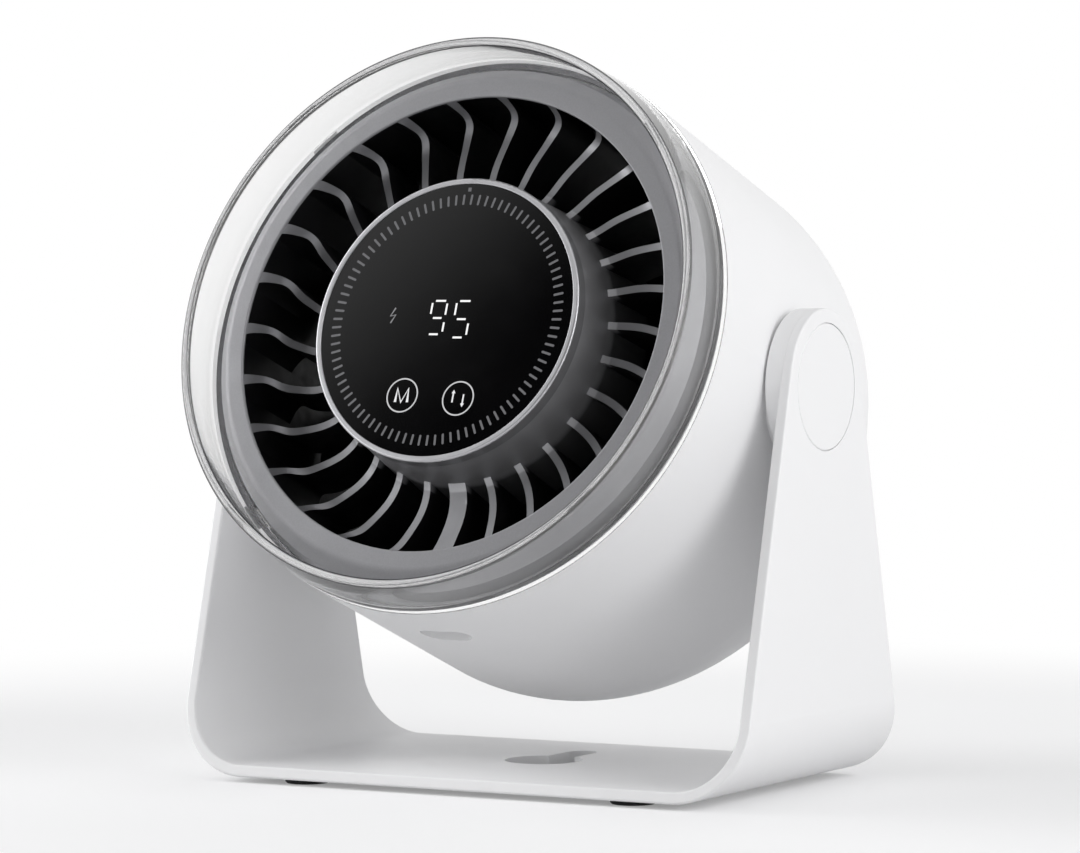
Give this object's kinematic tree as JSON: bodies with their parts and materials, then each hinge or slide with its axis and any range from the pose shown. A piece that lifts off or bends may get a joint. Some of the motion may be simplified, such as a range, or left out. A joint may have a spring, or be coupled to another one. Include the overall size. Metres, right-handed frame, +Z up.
{
  "type": "air circulator fan",
  "caption": "Round air circulator fan head with curved guide vanes, clear front ring and touch display, tilting in a U-shaped bracket for a desk or a wall.",
  "frame": {"origin": "on the floor under the middle of the outline, between the arms", "axes": "+Z up, the face looks along -Y and upwards, +X to the right seen from the front, tilt axis along X"},
  "size_m": [0.1706, 0.1766, 0.197],
  "materials": {
    "white_plastic": "satin",
    "clear_plastic": "gloss",
    "grey_plastic": "satin",
    "rim_plastic": "satin",
    "black_glass": "gloss",
    "black_plastic": "satin",
    "circuit_board": "satin",
    "light_guide": "gloss",
    "black_rubber": "matte",
    "fibre": "matte",
    "steel": "satin",
    "lamination_steel": "matte",
    "copper_wire": "satin",
    "nickel_strip": "polished",
    "cast_aluminium": "satin",
    "cell_case": "satin"
  },
  "bodies": {
    "stand": {"stand_bracket": "white_plastic", "stand_feet": "black_rubber", "pivot_caps": "white_plastic", "friction_discs": "fibre"},
    "head": {"battery_cells": "cell_case", "battery_contacts": "nickel_strip", "battery_pod": "black_plastic", "board_screws": "steel", "charge_board": "circuit_board", "charge_socket": "steel", "clear_ring": "clear_plastic", "control_board": "circuit_board", "display_board": "circuit_board", "display_lens": "black_glass", "display_rim": "rim_plastic", "duct_shroud": "black_plastic", "front_bezel": "grey_plastic", "front_grille": "grey_plastic", "hub_screws": "steel", "intake_grille": "white_plastic", "intake_screws": "steel", "motor_base": "cast_aluminium", "motor_bearings": "steel", "motor_screws": "steel", "pivot_hubs": "steel", "pivot_screws": "steel", "pivot_washers": "steel", "pod_screws": "steel", "rear_housing": "white_plastic", "segment_block": "black_plastic", "stator_core": "lamination_steel", "stator_windings": "copper_wire", "tick_light_ring": "light_guide", "touch_pads": "black_rubber"},
    "impeller_set": {"impeller": "black_plastic", "rotor_bell": "steel", "rotor_magnets": "lamination_steel", "motor_shaft": "steel", "shaft_clip": "steel", "impeller_nut": "steel"}
  },
  "joints": [
    {"name": "head_tilt", "type": "hinge", "parent": "stand", "child": "head", "pos_m": [0, -0.00503, 0.10569], "axis": [1, 0, 0], "range_deg": [-69.8, 110.2]},
    {"name": "impeller_spin", "type": "hinge", "parent": "head", "child": "impeller_set", "pos_m": [0, -0.00503, 0.10569], "axis": [0, -0.9385, 0.3453], "continuous": true}
  ]
}
